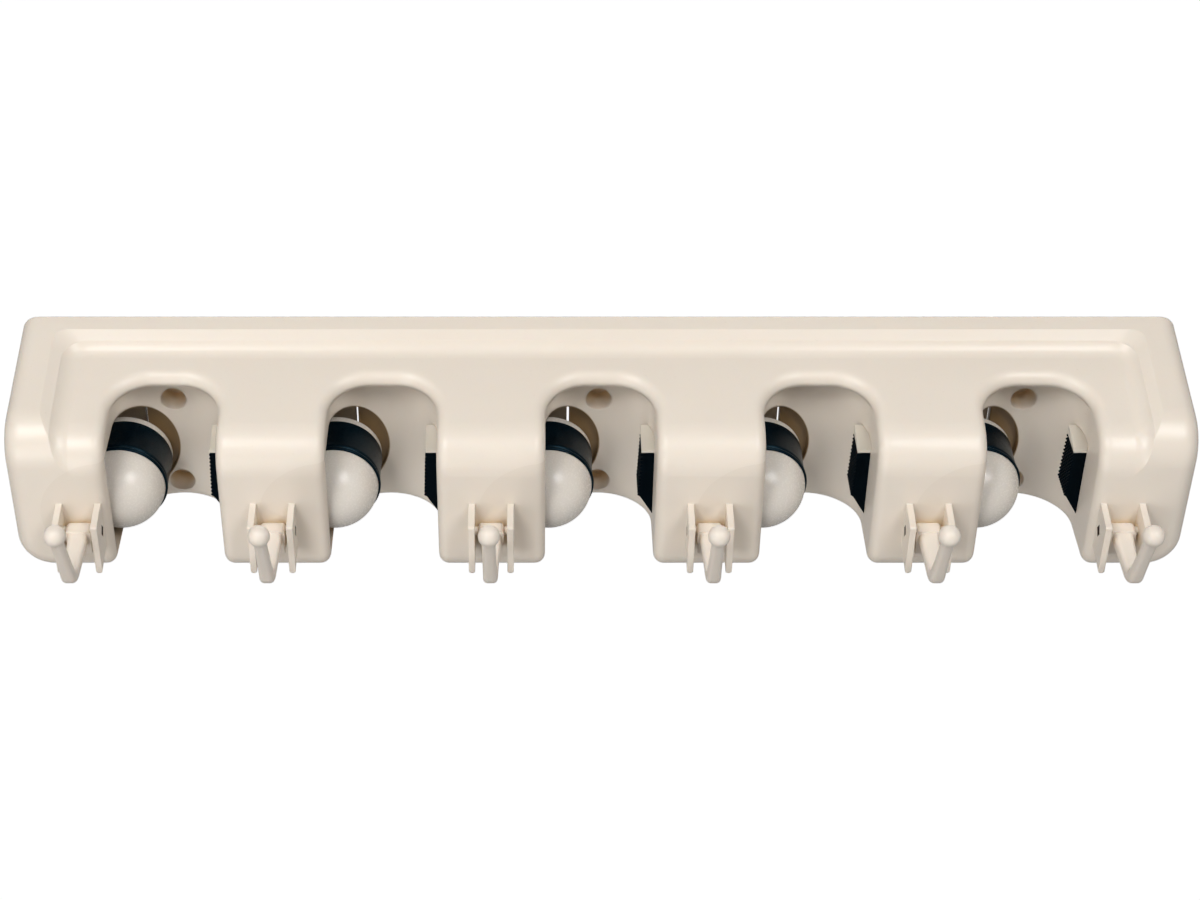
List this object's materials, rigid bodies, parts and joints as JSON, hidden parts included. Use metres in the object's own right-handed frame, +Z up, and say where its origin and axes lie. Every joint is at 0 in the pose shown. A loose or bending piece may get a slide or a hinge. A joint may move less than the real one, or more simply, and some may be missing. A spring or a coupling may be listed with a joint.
{
  "type": "tool hanger rack",
  "caption": "Wall rack that grips tool handles between rubber-tyred sliding rollers and ribbed pads, with fold-up hooks on the pillars between the slots.",
  "frame": {"origin": "middle of the four outer wall screw holes, on the wall plane", "axes": "+X along the rack to the right seen from the front, +Y into the wall, +Z up"},
  "size_m": [0.4, 0.0941, 0.0691],
  "materials": {
    "shell": "semi-gloss ivory moulding",
    "roller_plastic": "semi-gloss ivory moulding",
    "hook_plastic": "semi-gloss ivory moulding",
    "holder_plastic": "satin ivory moulding",
    "guide_plastic": "satin ivory moulding",
    "rubber": "satin black rubber",
    "steel": "zinc plated"
  },
  "bodies": {
    "rack": {"housing": "shell", "guide_screws": "steel", "roller_guide_1": "guide_plastic", "roller_guide_2": "guide_plastic", "roller_guide_3": "guide_plastic", "roller_guide_4": "guide_plastic", "roller_guide_5": "guide_plastic", "grip_pad_1": "rubber", "grip_pad_2": "rubber", "grip_pad_3": "rubber", "grip_pad_4": "rubber", "grip_pad_5": "rubber", "pad_holder_1": "holder_plastic", "pad_holder_2": "holder_plastic", "pad_holder_3": "holder_plastic", "pad_holder_4": "holder_plastic", "pad_holder_5": "holder_plastic"},
    "carriage_1": {"roller_axle_1": "guide_plastic", "axle_washer_1": "steel", "axle_screw_1": "steel"},
    "roller_1": {"roller_core_1": "roller_plastic", "roller_tyre_1": "rubber"},
    "carriage_2": {"roller_axle_2": "guide_plastic", "axle_washer_2": "steel", "axle_screw_2": "steel"},
    "roller_2": {"roller_core_2": "roller_plastic", "roller_tyre_2": "rubber"},
    "carriage_3": {"roller_axle_3": "guide_plastic", "axle_washer_3": "steel", "axle_screw_3": "steel"},
    "roller_3": {"roller_core_3": "roller_plastic", "roller_tyre_3": "rubber"},
    "carriage_4": {"roller_axle_4": "guide_plastic", "axle_washer_4": "steel", "axle_screw_4": "steel"},
    "roller_4": {"roller_core_4": "roller_plastic", "roller_tyre_4": "rubber"},
    "carriage_5": {"roller_axle_5": "guide_plastic", "axle_washer_5": "steel", "axle_screw_5": "steel"},
    "roller_5": {"roller_core_5": "roller_plastic", "roller_tyre_5": "rubber"},
    "hook_1": {"hook_1": "hook_plastic"},
    "hook_2": {"hook_2": "hook_plastic"},
    "hook_3": {"hook_3": "hook_plastic"},
    "hook_4": {"hook_4": "hook_plastic"},
    "hook_5": {"hook_5": "hook_plastic"},
    "hook_6": {"hook_6": "hook_plastic"}
  },
  "joints": [
    {"name": "carriage_slide_1", "type": "slide", "parent": "rack", "child": "carriage_1", "axis": [-0.866, 0, 0.5], "range_m": [0, 0.0144]},
    {"name": "roller_spin_1", "type": "hinge", "parent": "carriage_1", "child": "roller_1", "pos_m": [-0.1655, -0.025, -0.00455], "axis": [0, 1, 0], "continuous": true},
    {"name": "carriage_slide_2", "type": "slide", "parent": "rack", "child": "carriage_2", "axis": [-0.866, 0, 0.5], "range_m": [0, 0.0144]},
    {"name": "roller_spin_2", "type": "hinge", "parent": "carriage_2", "child": "roller_2", "pos_m": [-0.0915, -0.025, -0.00455], "axis": [0, 1, 0], "continuous": true},
    {"name": "carriage_slide_3", "type": "slide", "parent": "rack", "child": "carriage_3", "axis": [-0.866, 0, 0.5], "range_m": [0, 0.0144]},
    {"name": "roller_spin_3", "type": "hinge", "parent": "carriage_3", "child": "roller_3", "pos_m": [-0.0175, -0.025, -0.00455], "axis": [0, 1, 0], "continuous": true},
    {"name": "carriage_slide_4", "type": "slide", "parent": "rack", "child": "carriage_4", "axis": [-0.866, 0, 0.5], "range_m": [0, 0.0144]},
    {"name": "roller_spin_4", "type": "hinge", "parent": "carriage_4", "child": "roller_4", "pos_m": [0.0565, -0.025, -0.00455], "axis": [0, 1, 0], "continuous": true},
    {"name": "carriage_slide_5", "type": "slide", "parent": "rack", "child": "carriage_5", "axis": [-0.866, 0, 0.5], "range_m": [0, 0.0144]},
    {"name": "roller_spin_5", "type": "hinge", "parent": "carriage_5", "child": "roller_5", "pos_m": [0.1305, -0.025, -0.00455], "axis": [0, 1, 0], "continuous": true},
    {"name": "hook_fold_1", "type": "hinge", "parent": "rack", "child": "hook_1", "pos_m": [-0.1766, -0.057, -0.00575], "axis": [-1, 0, 0], "range_deg": [0, 60]},
    {"name": "hook_fold_2", "type": "hinge", "parent": "rack", "child": "hook_2", "pos_m": [-0.111, -0.057, -0.00575], "axis": [-1, 0, 0], "range_deg": [0, 60]},
    {"name": "hook_fold_3", "type": "hinge", "parent": "rack", "child": "hook_3", "pos_m": [-0.037, -0.057, -0.00575], "axis": [-1, 0, 0], "range_deg": [0, 60]},
    {"name": "hook_fold_4", "type": "hinge", "parent": "rack", "child": "hook_4", "pos_m": [0.037, -0.057, -0.00575], "axis": [-1, 0, 0], "range_deg": [0, 60]},
    {"name": "hook_fold_5", "type": "hinge", "parent": "rack", "child": "hook_5", "pos_m": [0.111, -0.057, -0.00575], "axis": [-1, 0, 0], "range_deg": [0, 60]},
    {"name": "hook_fold_6", "type": "hinge", "parent": "rack", "child": "hook_6", "pos_m": [0.1766, -0.057, -0.00575], "axis": [-1, 0, 0], "range_deg": [0, 60]}
  ]
}
